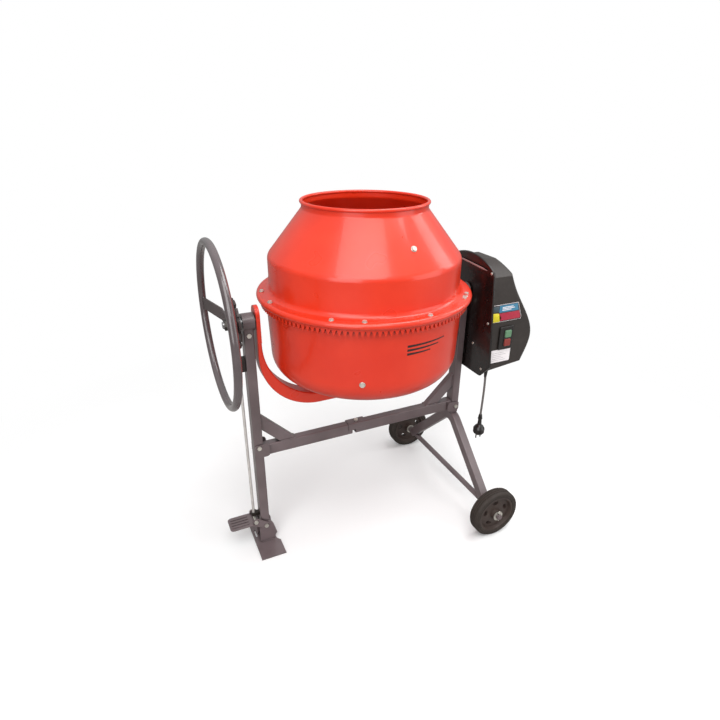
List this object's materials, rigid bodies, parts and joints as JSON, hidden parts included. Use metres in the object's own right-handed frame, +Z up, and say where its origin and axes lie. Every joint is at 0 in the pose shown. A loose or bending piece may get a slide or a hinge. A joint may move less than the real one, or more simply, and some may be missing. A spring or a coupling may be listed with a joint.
{
  "type": "concrete mixer",
  "caption": "Electric drum concrete mixer: tilting drum with ring gear in a yoke, handwheel, pedal tilt lock, belt drive housing and a two-wheeled stand.",
  "frame": {"origin": "on the ground, at the middle of the machine's length and width; the drum's axis stands 47.5 mm towards -X from it", "axes": "+Z up, +X along the tilt axis from the handwheel towards the motor, +Y away from the side with the switch"},
  "size_m": [1.0993, 0.696, 1.1535],
  "materials": {
    "frame_paint": "satin paint",
    "wheel_paint": "satin paint",
    "drum_paint": "gloss paint",
    "zinc": "bright zinc",
    "steel": "turned",
    "cast_steel": "as cast",
    "bronze": "sintered",
    "alloy": "cast",
    "gloss_black": "gloss",
    "cover_grey": "textured",
    "wheel_plastic": "moulded",
    "tyre": "matt",
    "belt_rubber": "matt",
    "cable_grey": "matt",
    "label": "printed film",
    "green_plastic": "gloss",
    "red_plastic": "gloss"
  },
  "bodies": {
    "stand": {"front_post": "frame_paint", "rear_post": "frame_paint", "bearing_housings": "frame_paint", "rear_fork": "frame_paint", "axle": "frame_paint", "axle_washers_and_pins": "zinc", "front_crossbar": "frame_paint", "rear_crossbar": "frame_paint", "braces": "frame_paint", "foot_plate": "frame_paint", "frame_bolts": "zinc", "lock_rod_guides": "cover_grey", "return_spring": "zinc", "drive_tray": "gloss_black", "drive_cover": "cover_grey", "cover_screws": "zinc", "motor_stator": "steel", "motor_end_shields": "alloy", "drive_belt": "belt_rubber", "start_capacitor": "cover_grey", "switch_box": "gloss_black", "label_plates": "label", "supply_cable": "cable_grey", "plug": "gloss_black"},
    "yoke": {"yoke_arm": "drum_paint", "yoke_plates": "drum_paint", "drum_bearing_housing": "drum_paint", "drum_bearings": "steel", "front_trunnion": "steel", "lock_disc": "frame_paint", "handwheel_rim": "wheel_paint", "handwheel_hub": "wheel_paint", "handwheel_strap": "wheel_paint", "handwheel_nut": "zinc", "rear_trunnion": "steel", "trunnion_bushes": "bronze"},
    "drum": {"drum_cone": "drum_paint", "drum_bucket": "drum_paint", "ring_gear": "drum_paint", "ring_bolts": "zinc", "mixing_blades": "drum_paint", "blade_bolts": "zinc", "drum_base_plate": "drum_paint", "drum_shaft": "steel", "drum_nut": "zinc"},
    "pinion_shaft": {"pinion": "cast_steel", "pinion_shaft": "steel", "driven_pulley": "alloy", "pulley_nut": "zinc"},
    "motor_rotor": {"motor_rotor": "steel", "motor_pulley": "alloy"},
    "near_wheel": {"near_wheel": "wheel_plastic", "near_tyre": "tyre"},
    "far_wheel": {"far_wheel": "wheel_plastic", "far_tyre": "tyre"},
    "lock_pedal": {"lock_pedal": "frame_paint", "pedal_pin": "zinc"},
    "lock_rod": {"lock_rod": "zinc"},
    "start_button": {"start_button": "green_plastic"},
    "stop_button": {"stop_button": "red_plastic"}
  },
  "joints": [
    {"name": "drum_tilt", "type": "hinge", "parent": "stand", "child": "yoke", "pos_m": [-0.0475, 0, 0.825], "axis": [1, 0, 0], "range_deg": [-120, 120]},
    {"name": "drum_spin", "type": "hinge", "parent": "yoke", "child": "drum", "pos_m": [-0.0475, 0, 0.57], "axis": [0, 0, 1], "continuous": true},
    {"name": "pinion_spin", "type": "hinge", "parent": "yoke", "child": "pinion_shaft", "pos_m": [0.2715, 0, 0.825], "axis": [1, 0, 0], "continuous": true},
    {"name": "motor_spin", "type": "hinge", "parent": "stand", "child": "motor_rotor", "pos_m": [0.4475, 0, 0.65], "axis": [1, 0, 0], "continuous": true},
    {"name": "near_wheel_spin", "type": "hinge", "parent": "stand", "child": "near_wheel", "pos_m": [0.3285, -0.31, 0.09], "axis": [0, 1, 0], "continuous": true},
    {"name": "far_wheel_spin", "type": "hinge", "parent": "stand", "child": "far_wheel", "pos_m": [0.3285, 0.31, 0.09], "axis": [0, 1, 0], "continuous": true},
    {"name": "pedal_press", "type": "hinge", "parent": "stand", "child": "lock_pedal", "pos_m": [-0.4275, 0, 0.077], "axis": [0, -1, 0], "range_deg": [0, 14]},
    {"name": "lock_rod_slide", "type": "slide", "parent": "stand", "child": "lock_rod", "axis": [0, 0, -1], "range_m": [0, 0.0085], "deforming": ["return_spring"]},
    {"name": "start_press", "type": "slide", "parent": "stand", "child": "start_button", "axis": [0, 1, 0], "range_m": [0, 0.004]},
    {"name": "stop_press", "type": "slide", "parent": "stand", "child": "stop_button", "axis": [0, 1, 0], "range_m": [0, 0.004]}
  ],
  "couplings": [
    {"joint": "pinion_spin", "follows": "drum_spin", "ratio": -11},
    {"joint": "motor_spin", "follows": "drum_spin", "ratio": -104.5},
    {"joint": "lock_rod_slide", "follows": "pedal_press", "m_per_rad": 0.0345}
  ]
}
